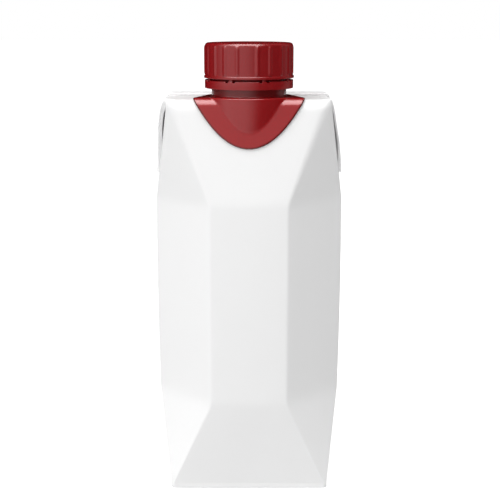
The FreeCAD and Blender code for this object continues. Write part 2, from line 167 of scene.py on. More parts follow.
def split_long(line: Array, longest: float) -> Array:
    """Add points along a line wherever two are further apart than the longest step.

    Args:
        line: one row of two coordinates for each point.
        longest: the longest step.

    Returns:
        The line with its new points.
    """
    parts = [line[:1]]
    for start, end in zip(line[:-1], line[1:]):
        steps = max(1, math.ceil(np.linalg.norm(end - start) / longest))
        parts.append(start + (end - start) * np.linspace(0, 1, steps + 1)[1:, None])
    return np.vstack(parts)


def smooth_step(low: float, high: float, value: Array | float) -> Array | float:
    """A soft step from 0 at low to 1 at high."""
    share = np.clip((value - low) / (high - low), 0, 1)
    return share * share * (3 - 2 * share)


def places(piece: bpy.types.Object) -> Array:
    """The points of a piece in millimetres, as rows of x, y and z."""
    return np.array([vertex.co for vertex in piece.data.vertices]) / MM


def paint(piece: bpy.types.Object, mask: str, values: Array) -> None:
    """Store a number at each point of a piece, under the name that its material reads."""
    piece.data.attributes.new(mask, "FLOAT", "POINT").data.foreach_set("value", values.astype(float))


def wrap_up(piece: bpy.types.Object, slot: str, *nodes: str) -> bpy.types.Object:
    """Fix a finished piece to the pack and hide the solids it stands for.

    Args:
        piece: the finished piece.
        slot: the name of its finish; not used.
        nodes: the solids that it stands for, if any.

    Returns:
        The same piece.
    """
    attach(piece, BODY)
    if nodes:
        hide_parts(*nodes)
    log.info("%s: %d points, %d faces", piece.name, len(piece.data.vertices), len(piece.data.polygons))
    return piece


# --- shader node helpers ----------------------------------------------------------------------


@dataclass
class Wiring:
    """Short ways to place and join the nodes of one tree."""

    tree: bpy.types.NodeTree

    def add(self, kind: str, inputs: dict[str | int, object] | None = None,
            **settings: object) -> bpy.types.Node:
        """Place a node.

        Args:
            kind: the node's type name.
            inputs: what each input gets: a socket to link from, or a plain value.
            settings: properties of the node itself.

        Returns:
            The new node.
        """
        node = self.tree.nodes.new(kind)
        for name, value in settings.items():
            setattr(node, name, value)
        for name, value in (inputs or {}).items():
            if isinstance(value, bpy.types.NodeSocket):
                self.tree.links.new(value, node.inputs[name])
            else:
                node.inputs[name].default_value = value
        return node

    def math(self, operation: str, *terms: object) -> bpy.types.NodeSocket:
        """The result of a maths node over sockets or numbers."""
        return self.add("ShaderNodeMath", dict(enumerate(terms)), operation=operation).outputs[0]

    def step(self, value: bpy.types.NodeSocket, low: object, high: object,
             bottom: object = 0.0, top: object = 1.0) -> bpy.types.NodeSocket:
        """A soft step of a value between two limits."""
        inputs = {0: value, 1: low, 2: high, 3: bottom, 4: top}
        return self.add("ShaderNodeMapRange", inputs, interpolation_type="SMOOTHSTEP").outputs[0]


def new_group(name: str, kind: str, inputs: dict[str, tuple[str, object]],
              outputs: dict[str, str]) -> tuple[Wiring, bpy.types.Node, bpy.types.Node]:
    """Make an empty node group with named sockets.

    Args:
        name: the group's name.
        kind: the tree's type name.
        inputs: the socket type and default of each input.
        outputs: the socket type of each output.

    Returns:
        The group's wiring, its input node and its output node.
    """
    tree = bpy.data.node_groups.new(name, kind)
    for label, (socket, default) in inputs.items():
        made = tree.interface.new_socket(name=label, in_out="INPUT", socket_type=socket)
        if default is not None:
            made.default_value = default
    for label, socket in outputs.items():
        tree.interface.new_socket(name=label, in_out="OUTPUT", socket_type=socket)
    wiring = Wiring(tree)
    return wiring, wiring.add("NodeGroupInput"), wiring.add("NodeGroupOutput")


def link_out(wiring: Wiring, node: bpy.types.Node, **sockets: bpy.types.NodeSocket) -> None:
    """Join sockets to the group's outputs; an underscore in a name stands for a space."""
    for label, socket in sockets.items():
        wiring.tree.links.new(socket, node.inputs[label.replace("_", " ")])


def mottle_group() -> bpy.types.NodeTree:
    """Fine and broad unevenness of a surface, as a tone round 1 and a height round 0.

    Returns:
        The shader node group.
    """
    floats = "NodeSocketFloat"
    inputs = {"Grain Scale": (floats, 900.0), "Cloud Scale": (floats, 60.0), "Tone Amount": (floats, 0.01)}
    wiring, inlet, outlet = new_group("surface_mottle", "ShaderNodeTree", inputs,
                                      {"Tone": floats, "Height": floats})
    place = wiring.add("ShaderNodeTexCoord").outputs["Object"]
    noises = []
    for label, detail, roughness in (("Grain Scale", 3.0, 0.6), ("Cloud Scale", 2.0, 0.5)):
        noises.append(wiring.add("ShaderNodeTexNoise", {
            "Vector": place, "Scale": inlet.outputs[label], "Detail": detail, "Roughness": roughness,
        }).outputs["Fac"])
    grain, cloud = noises
    middle = 0.5
    mixed = wiring.math("MULTIPLY", wiring.math("ADD", grain, cloud), 0.5)
    spread = wiring.math("MULTIPLY", wiring.math("SUBTRACT", mixed, middle), inlet.outputs["Tone Amount"])
    tone = wiring.math("ADD", spread, 1.0)
    link_out(wiring, outlet, Tone=tone, Height=wiring.math("SUBTRACT", grain, middle))
    return wiring.tree


def new_material(name: str) -> tuple[bpy.types.Material, Wiring, bpy.types.Node]:
    """Make an empty material.

    Args:
        name: the material's name.

    Returns:
        The material, its wiring and its output node.
    """
    material = bpy.data.materials.new(name)
    material.use_nodes = True
    material.node_tree.nodes.clear()
    wiring = Wiring(material.node_tree)
    return material, wiring, wiring.add("ShaderNodeOutputMaterial")


# --- finishes ---------------------------------------------------------------------------------


@dataclass(frozen=True)
class Mottle:
    """How uneven a surface is.

    Its grain and its clouds have a scale each, its tone a spread, and its relief a height in
    millimetres and a strength.
    """

    grain: float
    clouds: float
    spread: float
    relief: float
    strength: float

    def add_to(self, wiring: Wiring,
               group: bpy.types.NodeTree) -> tuple[bpy.types.NodeSocket, bpy.types.NodeSocket]:
        """Add the unevenness to a material.

        Args:
            wiring: the material's wiring.
            group: the group that makes the unevenness.

        Returns:
            The tone and the bumped normal.
        """
        uneven = wiring.add("ShaderNodeGroup", node_tree=group)
        for label, value in (("Grain Scale", self.grain), ("Cloud Scale", self.clouds),
                             ("Tone Amount", self.spread)):
            uneven.inputs[label].default_value = value
        bump = wiring.add("ShaderNodeBump", {
            "Height": uneven.outputs["Height"], "Distance": self.relief * MM, "Strength": self.strength,
        })
        return uneven.outputs["Tone"], bump.outputs[0]


def masked_colour(wiring: Wiring, mask: str, plain: Colour, masked: Colour,
                  tone: bpy.types.NodeSocket) -> bpy.types.NodeSocket:
    """A colour that turns into another under a mask.

    Args:
        wiring: the material's wiring.
        mask: the name that the mask was painted under.
        plain: the colour where the mask is 0.
        masked: the colour where the mask is 1.
        tone: what both are multiplied by.

    Returns:
        The colour's socket.
    """
    share = wiring.add("ShaderNodeAttribute", attribute_name=mask).outputs["Fac"]
    mixed = wiring.add("ShaderNodeMix", {"Factor": share, "A": (*plain, 1), "B": (*masked, 1)},
                       data_type="RGBA").outputs["Result"]
    return wiring.add("ShaderNodeVectorMath", {0: mixed, "Scale": tone}, operation="SCALE").outputs[0]


@dataclass(frozen=True)
class CoatedBoard:
    """White board under a clear film, with a fine tooth and bare fibre at its cut edges."""

    white: Colour = (0.93, 0.93, 0.93)
    fibre: Colour = (0.70, 0.66, 0.58)
    roughness: float = 0.42
    sheen: float = 0.25
    tooth: Mottle = Mottle(grain=1400.0, clouds=45.0, spread=0.02, relief=0.004, strength=0.25)

    def dress(self, group: bpy.types.NodeTree) -> bpy.types.Material:
        """Build the material.

        Args:
            group: the group that makes its unevenness.

        Returns:
            The material.
        """
        material, wiring, outlet = new_material("coated_board")
        tone, normal = self.tooth.add_to(wiring, group)
        shader = wiring.add("ShaderNodeBsdfPrincipled", {
            "Base Color": masked_colour(wiring, "cut_edge", self.white, self.fibre, tone),
            "Roughness": self.roughness, "Specular IOR Level": self.sheen, "Normal": normal,
        })
        wiring.tree.links.new(shader.outputs[0], outlet.inputs["Surface"])
        return material


@dataclass(frozen=True)
class MouldedPlastic:
    """Coloured polyolefin from a smooth mould: a soft gloss over a faint orange peel, darkened by painted
    shade where its mask is painted.
    """

    name: str
    colour: Colour
    roughness: float = 0.24
    gloss_spread: float = 0.03
    # share of the colour that is left under the painted shade mask
    painted_shade_share: float = 0.35
    peel: Mottle = Mottle(grain=700.0, clouds=90.0, spread=0.12, relief=0.012, strength=0.3)

    def dress(self, group: bpy.types.NodeTree) -> bpy.types.Material:
        """Build the material.

        Args:
            group: the group that makes its unevenness.

        Returns:
            The material.
        """
        material, wiring, outlet = new_material(self.name)
        tone, normal = self.peel.add_to(wiring, group)
        # painted shade: the same red, darkened, where the painted shade mask is 1
        deep = tuple(self.painted_shade_share * channel for channel in self.colour)
        gloss = wiring.step(tone, 1 - self.peel.spread / 2, 1 + self.peel.spread / 2,
                            self.roughness - self.gloss_spread, self.roughness + self.gloss_spread)
        shader = wiring.add("ShaderNodeBsdfPrincipled", {
            "Base Color": masked_colour(wiring, "sheltered", self.colour, deep, tone),
            "Roughness": gloss, "Normal": normal,
        })
        wiring.tree.links.new(shader.outputs[0], outlet.inputs["Surface"])
        return material


# --- carton -----------------------------------------------------------------------------------


@dataclass(frozen=True)
class Ear:
    """How one ear stands off its panel.

    It has a thickness at its two folds, a radius where it turns down from the top, and a row of
    drops below the top, each with the ear's distance off the panel. Near the top corner its folds
    are shut onto the panel.
    """

    edge: float
    turn: float
    stand: tuple[tuple[float, float], ...]
    shut: float = 1.0
    parted: float = 5.0

    def stand_at(self, drop: float) -> float:
        """Distance of the ear's face off the panel at a drop below the top."""
        return float(np.interp(drop, *zip(*self.stand)))

    def edge_at(self, drop: float) -> float:
        """Thickness at the folds, which reach the panel near the top corner and then part from it."""
        shut = smooth_step(self.parted, self.shut, drop)
        return self.edge + max(self.stand_at(drop) + OVERLAP - self.edge, 0.0) * shut


@dataclass
class Carton:
    """The folded pack: eight panels round the waist, a folded base, a fin and two ears.

    A half is half a width across the pack, a flat is half the width of one of its four main panels,
    and a round is a radius.
    """

    # the eight panels, from the base up
    base_half: float = 28.5
    hip_half: float = 33.2
    hip_flat: float = 13.6
    waist_half: float = 33.85
    waist_flat: float = 13.65
    shoulder_half: float = 33.55
    shoulder_flat: float = 13.7
    top_half: float = 28.5
    corner_cut: float = 1.0
    hip_height: float = 34.3
    shoulder_height: float = 106.8
    front_height: float = 142.8
    top_fall: float = 1.2
    fold_round: float = 24.0
    waist_round: float = 2000.0
    crown: float = 0.35
    crown_least: float = 0.35
    # the upright creases between them
    base_crease: float = 0.8
    crease_round: float = 2.0
    crease_least: float = 0.2
    crease_share: float = 2.2
    corner_round: float = 5.0
    corner_reach: float = 7.0
    # the base
    base_strip: float = 2.0
    strip_round: float = 1.5
    base_edge: float = 0.35
    base_rim: float = 2.0
    field_slope: float = 0.5
    # the soft bend round the top
    bend_reach: float = 5.0
    bend_draw: float = 2.0
    bend_from: float = 0.5
    bend_full: float = 0.9
    top_edge: float = 0.4
    # the board, the fin and the seam down the back
    board: float = 0.42
    cut_round: float = 0.08
    fin_width: float = 10.5
    fin_slit: float = 0.3
    seam_left: float = -4.0
    seam_right: float = 4.5
    seam_sink: float = 0.3
    seam_rise: float = 0.9
    # the ears
    edge_round: float = 0.9
    ear_hook: float = 3.0
    ear_lift: float = 0.12
    ear_curve: float = 12.0
    ear_fold: float = 0.28
    ear_fold_share: float = 0.45
    ear_thin: float = 2.5
    ear_tip: float = 0.4
    bond_full: float = 0.45
    bond_end: float = 0.62
    right_ear: Ear = Ear(edge=0.65, turn=0.9, stand=(
        (1.5, 0.44), (3.0, 0.70), (5.0, 0.95), (9.2, 1.31), (16.0, 1.95), (22.8, 1.75), (28.5, 1.19)))
    left_ear: Ear = Ear(edge=1.45, turn=1.6, stand=(
        (1.5, 1.50), (3.0, 1.80), (5.0, 2.05), (9.2, 2.35), (16.0, 2.10), (22.8, 1.65), (28.5, 1.19)))
    # the outlines that the sections follow
    flats: Array = field(init=False)
    facets: Array = field(init=False)

    def __post_init__(self) -> None:
        """Work out the two silhouettes that the sections follow."""
        waist_height = (self.hip_height + self.shoulder_height) / 2
        strip_half = self.base_half + (self.hip_half - self.base_half) * self.base_strip / self.hip_height
        rows = (
            (0.0, strip_half, strip_half - self.corner_cut, 0.0),
            (self.base_strip, strip_half, strip_half - self.corner_cut, self.strip_round),
            (self.hip_height, self.hip_half, self.hip_flat, self.fold_round),
            (waist_height, self.waist_half, self.waist_flat, self.waist_round),
            (self.shoulder_height, self.shoulder_half, self.shoulder_flat, self.fold_round),
            (self.front_height, self.top_half, self.top_half - self.corner_cut, 0.0),
        )
        self.flats = soften([(height, half, radius) for height, half, _, radius in rows])
        self.facets = soften([(height, (half + flat) / math.sqrt(2), radius)
                              for height, half, flat, radius in rows])

    @property
    def panel_slope(self) -> float:
        """How far the upper panels lean in for each millimetre of height."""
        return (self.shoulder_half - self.top_half) / (self.front_height - self.shoulder_height)

    def ear(self, side: int) -> Ear:
        """The ear of a side: 1 is the right and -1 the left, which springs further out."""
        return self.right_ear if side > 0 else self.left_ear

    def top_at(self, y: Array | float) -> Array | float:
        """Height of the top panel, which falls towards the back."""
        return self.front_height - self.top_fall * (y + self.top_half) / (2 * self.top_half)

    def bend(self, drop: Array | float) -> Array | float:
        """How far the soft top fold draws the panels in, at a drop below the top."""
        return self.bend_draw * np.clip(1 - drop / self.bend_reach, 0, 1) ** 3

    def crease_at(self, height: float) -> float:
        """Radius of the upright creases, which soften towards the top corners.

        Args:
            height: where it is wanted.

        Returns:
            The radius there.
        """
        heights = (0.0, self.hip_height, self.shoulder_height, self.front_height - self.corner_reach)
        radii = (self.base_crease, self.crease_round, self.crease_round, self.corner_round)
        return float(np.interp(height, heights, radii))

    def section(self, height: float, inset: float = 0.0) -> Array:
        """The rounded octagon round the pack at a height.

        Args:
            height: where the section is taken.
            inset: how far it is drawn in from the panels.

        Returns:
            One row of x and y for each point, anticlockwise.
        """
        flat = np.interp(height, *self.flats.T) - inset
        facet = np.interp(height, *self.facets.T) - inset
        half_flat = math.sqrt(2) * facet - flat
        half_facet = (flat - half_flat) / math.sqrt(2)
        radius = min(max(self.crease_at(height) - inset, self.crease_least), self.crease_share * half_facet)
        trim = radius * math.tan(math.pi / 8)
        waist = smooth_step(0.0, self.hip_height, height) * smooth_step(
            self.front_height, self.shoulder_height, height)
        crown = self.crown * (self.crown_least + (1 - self.crown_least) * waist)
        flat_steps, facet_steps, crease_steps = 16, 12, 5
        points = []
        for side in range(8):
            turn = side * math.pi / 4 - math.pi / 2
            out = np.array([math.cos(turn), math.sin(turn)])
            along = np.array([-out[1], out[0]])
            reach, half, steps = (flat, half_flat, flat_steps) if side % 2 == 0 else (
                facet, half_facet, facet_steps)
            straight = half - trim
            bulge = crown * min(1.0, half / self.waist_flat)
            for share in np.linspace(-1, 1, steps + 1):
                points.append(out * (reach + bulge * (1 - share * share)) + along * share * straight)
            corner = out * (reach - radius) + along * straight
            for k in range(1, crease_steps):
                angle = turn + k * math.pi / 4 / crease_steps
                points.append(corner + radius * np.array([math.cos(angle), math.sin(angle)]))
        return np.array(points)

    def wall_rows(self) -> list[tuple[float, float]]:
        """List the sections from the base's edge to the top's, closer together near each fold.

        Returns:
            A height and an inset for each section.
        """
        coarse, bend_rows, edge_rows = 3.0, 12, 6
        bend_start, bend_end = self.front_height - self.bend_reach, self.front_height - self.top_edge
        heights = set(np.arange(coarse, bend_start, coarse).round(3))
        for place, reach, step in ((self.base_strip, 1.2, 0.3), (self.hip_height, 4.0, 0.5),
                                   (self.shoulder_height, 4.0, 0.5)):
            heights |= set(np.linspace(place - reach, place + reach, round(2 * reach / step) + 1).round(3))
        heights |= set(np.linspace(bend_start, bend_end, bend_rows)[:-1].round(3))
        turns = np.linspace(0, math.pi / 2, edge_rows)
        low, high = self.base_edge, self.top_edge
        rows = [(low * (1 - math.sin(t)), low * (1 - math.cos(t))) for t in turns[::-1]]
        rows += [(height, 0.0) for height in sorted(heights)]
        rows += [(self.front_height - high * (1 - math.sin(t)), high * (1 - math.cos(t))) for t in turns]
        return rows

    def ring(self, height: float, inset: float) -> Array:
        """A section in space: the front and back bend in below the top, which falls towards the back.

        Args:
            height: where the section is taken.
            inset: how far it is drawn in from the panels.

        Returns:
            One row of x, y and z for each point.
        """
        flat = self.section(height, inset)
        far = smooth_step(self.bend_from * self.top_half, self.bend_full * self.top_half, np.abs(flat[:, 1]))
        flat[:, 1] -= np.sign(flat[:, 1]) * far * self.bend(self.front_height - height)
        share = smooth_step(self.shoulder_height, self.front_height, height)
        rise = share * (self.top_at(flat[:, 1]) - self.front_height)
        return np.column_stack([flat, height + rise])

    def base_fields(self) -> list[Array]:
        """The two fields of the base that lie in one layer, above the folded ears and fin.

        Returns:
            The outline of each field, as rows of x and y.
        """
        edge = self.base_half - self.base_rim
        front = [(-(edge - self.base_rim), -edge), (edge - self.base_rim, -edge), (0, -self.base_rim)]
        slant = self.fin_width - self.base_rim
        back = [(edge - self.base_rim, edge), (-(edge - self.base_rim), edge),
                (-slant, self.fin_width), (slant, self.fin_width)]
        return [np.array(front), np.array(back)]

    def close_base(self, rim: Array) -> tuple[Array, list[list[int]]]:
        """Fill the base inside its rim, with its fields sunk by the folded layers.

        Args:
            rim: the points of the base's edge.

        Returns:
            The points and the faces.
        """
        depth = 2 * self.board
        holes = self.base_fields()
        flat = [Vector(point[:2]) for point in rim]
        edges = [(i, (i + 1) % len(rim)) for i in range(len(rim))]
        for hole in holes:
            start = len(flat)
            flat += [Vector(point) for point in hole]
            edges += [(start + i, start + (i + 1) % len(hole)) for i in range(len(hole))]
        verts, _, tris, *_ = delaunay_2d_cdt(flat, edges, [], 1, TINY)
        points = [(vert.x, vert.y, 0.0) for vert in verts]
        faces = []
        for tri in tris:
            middle = np.mean([points[i][:2] for i in tri], axis=0)
            if not any(self._inside(middle, hole) for hole in holes):
                faces.append(list(tri))
        for hole in holes:
            centre = hole.mean(axis=0)
            shrink = 1 - self.field_slope * depth / np.linalg.norm(hole - centre, axis=1).mean()
            inner = centre + (hole - centre) * shrink
            start, count = len(points), len(hole)
            points += [(x, y, 0.0) for x, y in hole] + [(x, y, depth) for x, y in inner]
            for i in range(count):
                j = (i + 1) % count
                faces.append([start + i, start + j, start + count + j, start + count + i])
            faces.append([start + count + i for i in range(count)])
        return np.array(points), faces

    @staticmethod
    def _inside(point: Array, outline: Array) -> bool:
        """Whether a point lies within a convex outline.

        Args:
            point: its x and y.
            outline: one row of x and y for each corner.

        Returns:
            True inside the outline.
        """
        turns = []
        for a, b in zip(outline, np.roll(outline, -1, axis=0)):
            turns.append((b[0] - a[0]) * (point[1] - a[1]) - (b[1] - a[1]) * (point[0] - a[0]))
        return min(turns) > 0 or max(turns) < 0

    def make_panels(self, board: bpy.types.Material) -> bpy.types.Object:
        """The eight panels, the top and the base, as one closed skin.

        Args:
            board: the board's material.

        Returns:
            The finished piece.
        """
        rings = [self.ring(height, inset) for height, inset in self.wall_rows()]
        edge = rings[-1]
        for shrink in (0.97, 0.9, 0.75, 0.5, 0.25):
            inner = edge * shrink
            inner[:, 2] = self.top_at(inner[:, 1])
            rings.append(inner)
        points, faces = loft(rings, first=False, last=True)
        base_points, base_faces = self.close_base(rings[0])
        faces += [[len(points) + i for i in face] for face in base_faces]
        points = np.vstack([points, base_points])
        return make_piece("carton_panels", points, faces, board, Shading.CREASED, crease_angle=35.0)

    # the folded top: each ear is drawn down its side, and the fin from the left ear over to the right

    def ear_path(self, side: int) -> Array:
        """The outer face of an ear in x and height above the top, from the top down.

        Args:
            side: 1 for the right ear and -1 for the left.

        Returns:
            One row of x and height for each station, as on the right side.
        """
        ear = self.ear(side)
        stations = [(self.top_half + self.panel_slope * drop + off, -drop) for drop, off in ear.stand]
        first, second = stations[:2]
        lean = (second[0] - first[0]) / (first[1] - second[1])
        corner = first[0] - lean * (self.ear_lift - first[1])
        line = [(self.top_half - self.ear_hook, self.ear_lift, 0.0), (corner, self.ear_lift, ear.turn)]
        line += [(*station, self.ear_curve) for station in stations]
        return split_long(soften(line, steps=8), longest=1.5)

    def _along(self, path: Array, sections: Sequence[Array]) -> list[Array]:
        """Place flat sections along a path across the top.

        Args:
            path: x and height above the top at each station.
            sections: at each station, y and the height above the path's face.

        Returns:
            The rings in space.
        """
        ahead = np.gradient(path, axis=0)
        ahead /= np.linalg.norm(ahead, axis=1)[:, None]
        outward = np.column_stack([-ahead[:, 1], ahead[:, 0]])
        middle = self.top_at(0.0)
        rings = []
        for (x, z), out, section in zip(path, outward, sections):
            y, lift = section[:, 0], section[:, 1]
            height = z + out[1] * lift + middle - self.top_fall * y / (2 * self.top_half)
            rings.append(np.column_stack([x + out[0] * lift, y, height]))
        return rings

    def make_ear(self, side: int, board: bpy.types.Material) -> bpy.types.Object:
        """One ear: the flattened corner of the pack, folded down its side.

        Args:
            side: 1 for the right ear and -1 for the left.
            board: the board's material.

        Returns:
            The finished piece.
        """
        path = self.ear_path(side)
        ear = self.ear(side)
        sections = []
        for drop in -path[:, 1]:
            half = max(self.top_half - self.edge_round - max(drop, 0.0) - self.bend(drop), self.ear_tip)
            reach = ear.stand_at(drop) if drop > ear.shut else 0.0
            sections.append(self._ear_section(half, ear.edge_at(drop), reach))
        points, faces = loft(self._along(path, sections))
        points = points * np.array([side, 1, 1])
        name = "carton_ear_right" if side > 0 else "carton_ear_left"
        return make_piece(name, points, faces, board, Shading.CREASED, crease_angle=50.0)

    def _ear_section(self, half: float, edge: float, reach: float, columns: int = 24) -> Array:
        """An ear's section as y and height: creased thin at both folds, and down to the panel at its bond.

        Args:
            half: half the ear's width there.
            edge: its thickness at both folds.
            reach: how far under its face the panel lies.
            columns: the number of steps across.

        Returns:
            One row for each point.
        """
        radius = min(self.ear_fold, edge * self.ear_fold_share, half * self.ear_fold_share)
        y = np.linspace(-half + radius, half - radius, columns)
        side = np.abs(y)
        full = smooth_step(half - radius, half - radius - self.ear_thin, side)
        bond = smooth_step(self.bond_end * half, self.bond_full * half, side)
        body = max(edge, 2 * self.board)
        under = -edge - (body - edge) * full - max(reach + OVERLAP - body, 0.0) * bond
        fold = half - radius
        turns = np.linspace(0, math.pi / 2, 4)
        right = [(fold + radius * math.sin(t), radius - edge - radius * math.cos(t)) for t in turns[1:]]
        right += [(fold + radius * math.cos(t), radius * math.sin(t) - radius) for t in turns[:-1]]
        left = [(-value, height) for value, height in right[::-1]]
        bottom = list(zip(y, under))
        top = [(value, 0.0) for value in y[::-1]]
        return np.array(bottom + right + top + left)

    def make_fin(self, board: bpy.types.Material) -> bpy.types.Object:
        """The sealed fin, folded back over the top and down the outside of both ears.

        Args:
            board: the board's material.

        Returns:
            The finished piece.
        """
        right = self.ear_path(1)[1:]
        left = self.ear_path(-1)[1:] * (-1, 1)
        path = np.vstack([left[::-1], np.linspace(left[0], right[0], 24)[1:-1], right])
        points, faces = loft(self._along(path, [self._fin_section()] * len(path)))
        fin = make_piece("carton_fin", points, faces, board, Shading.CREASED, crease_angle=50.0)
        paint(fin, "cut_edge", places(fin)[:, 1] > self.fin_width - self.cut_round / 2)
        return fin

    def _fin_section(self) -> Array:
        """The fin's section: a round fold at the front, and two cut layers at the back.

        Returns:
            One row of y and height for each point.
        """
        thick, under = 2 * self.board, -0.06
        radius = (thick - under) / 2
        centre = under + radius
        turns = np.linspace(-math.pi / 2, -1.5 * math.pi, 11)
        front = [(radius + radius * math.cos(t), centre + radius * math.sin(t)) for t in turns]
        back, cut, mouth = self.fin_width, self.cut_round, 0.05
        middle = [(share * back, thick) for share in (0.2, 0.35, 0.5, 0.65)]
        layers = [(back - 3.0, thick), (back - cut, thick), (back, thick - cut), (back, centre + mouth),
                  (back - self.fin_slit, centre), (back, centre - mouth), (back, under)]
        return np.array(front + middle + layers)

    def make_seam(self, board: bpy.types.Material) -> bpy.types.Object:
        """The long seam down the back, where one edge of the board laps over the other.

        Args:
            board: the board's material.

        Returns:
            The finished piece.
        """
        rise = self.board * self.seam_rise
        left, right, cut = self.seam_left, self.seam_right, self.cut_round
        slope = [(left + share * (right - left), rise * part)
                 for share, part in ((0.35, 1.0), (0.2, 0.72), (0.1, 0.3))]
        section = np.array([(left, -self.seam_sink), (right, -self.seam_sink), (right, rise - cut),
                            (right - cut, rise), *slope, (left, -0.02)])
        back_fall = self.front_height - self.top_at(self.top_half)
        line = []
        for z, inset in self.wall_rows():
            fall = back_fall * smooth_step(self.shoulder_height, self.front_height, z)
            line.append((self._back_at(z, inset), z - fall))
        line += [(y, self.top_at(y)) for y in (22.0, 16.0, self.fin_width + 0.2)]  # in to the fin
        ahead = np.gradient(np.array(line), axis=0)
        ahead /= np.linalg.norm(ahead, axis=1)[:, None]
        rings = []
        for (y, z), (dy, dz) in zip(line, ahead):
            height = np.maximum(z - dy * section[:, 1], 0.0)
            rings.append(np.column_stack([section[:, 0], y + dz * section[:, 1], height]))
        points, faces = loft(rings)
        seam = make_piece("carton_back_seam", points, faces, board, Shading.CREASED, crease_angle=40.0)
        bare = 0.8
        paint(seam, "cut_edge", bare * (places(seam)[:, 0] > right - cut / 2))
        return seam

    def _back_at(self, height: float, inset: float) -> float:
        """Distance from the axis to the back panel at a height."""
        return float(np.interp(height, *self.flats.T)) - inset - self.bend(self.front_height - height)

    def build(self, board: bpy.types.Material) -> None:
        """Make every piece of the pack and fix it in place.

        Args:
            board: the board's material.
        """
        wrap_up(self.make_panels(board), "carton_board", "carton")
        for side in (-1, 1):
            wrap_up(self.make_ear(side, board), "carton_board")
        wrap_up(self.make_fin(board), "carton_board")
        wrap_up(self.make_seam(board), "carton_board")


# --- moulded forms ----------------------------------------------------------------------------


def rounded_both(first: Array, second: Array, radius: float) -> Array:
    """Distance to what two forms share, with the edge between them rounded."""
    a, b = first + radius, second + radius
    return np.minimum(np.maximum(a, b), 0) + np.hypot(np.maximum(a, 0), np.maximum(b, 0)) - radius


def filleted_join(first: Array, second: Array, radius: float) -> Array:
    """Distance to two forms together, with a fillet where they meet."""
    a, b = radius - first, radius - second
    return np.maximum(np.minimum(first, second), radius) - np.hypot(np.maximum(a, 0), np.maximum(b, 0))


def skin_form(distance: Callable[[Array], Array], low: Sequence[float], high: Sequence[float],
              cell: float) -> tuple[Array, list[list[int]]]:
    """Skin a form that is given by its distance function.

    One point is put in each cell that the surface crosses, and is then moved onto the surface.

    Args:
        distance: gives the distance at each row of x, y and z, below 0 inside.
        low: the lowest corner of the space to look in.
        high: its highest corner.
        cell: the size of a cell.

    Returns:
        The points and the faces.
    """
    axes = [np.arange(a, b + cell, cell) for a, b in zip(low, high)]
    grid = np.stack(np.meshgrid(*axes, indexing="ij"), -1)
    value = distance(grid.reshape(-1, 3)).reshape(grid.shape[:3])
    size = np.array(value.shape)
    total = np.zeros((*(size - 1), 3))
    count = np.zeros(size - 1)
    crossings = []
    for axis in range(3):
        near = np.take(value, range(size[axis] - 1), axis)
        far = np.take(value, range(1, size[axis]), axis)
        found = np.argwhere((near < 0) != (far < 0))
        a, b = near[tuple(found.T)], far[tuple(found.T)]
        spot = found.astype(float)
        spot[:, axis] += a / (a - b)
        others = [other for other in range(3) if other != axis]
        inner = np.all((found[:, others] > 0) & (found[:, others] < size[others] - 1), axis=1)
        found, spot = found[inner], spot[inner]
        corners = []
        for shift in ((0, 0), (1, 0), (1, 1), (0, 1)):
            place = found.copy()
            place[:, others] -= shift
            np.add.at(total, tuple(place.T), spot)
            np.add.at(count, tuple(place.T), 1)
            corners.append(place)
        crossings.append(corners)
    used = np.argwhere(count > 0)
    rank = np.full(size - 1, -1)
    rank[tuple(used.T)] = np.arange(len(used))
    points = np.array(low) + cell * total[tuple(used.T)] / count[tuple(used.T)][:, None]
    faces = [np.column_stack([rank[tuple(place.T)] for place in corners]) for corners in crossings]
    small, least_slope, rounds = 0.01, 0.3, 4
    for _ in range(rounds):
        here = distance(points)
        slope = np.column_stack([
            (distance(points + small * unit) - distance(points - small * unit)) / (2 * small)
            for unit in np.eye(3)])
        step = here[:, None] * slope / np.maximum((slope ** 2).sum(axis=1), least_slope)[:, None]
        points = points - np.clip(step, -cell / 2, cell / 2)
    return points, np.vstack(faces).tolist()


# --- spout ------------------------------------------------------------------------------------


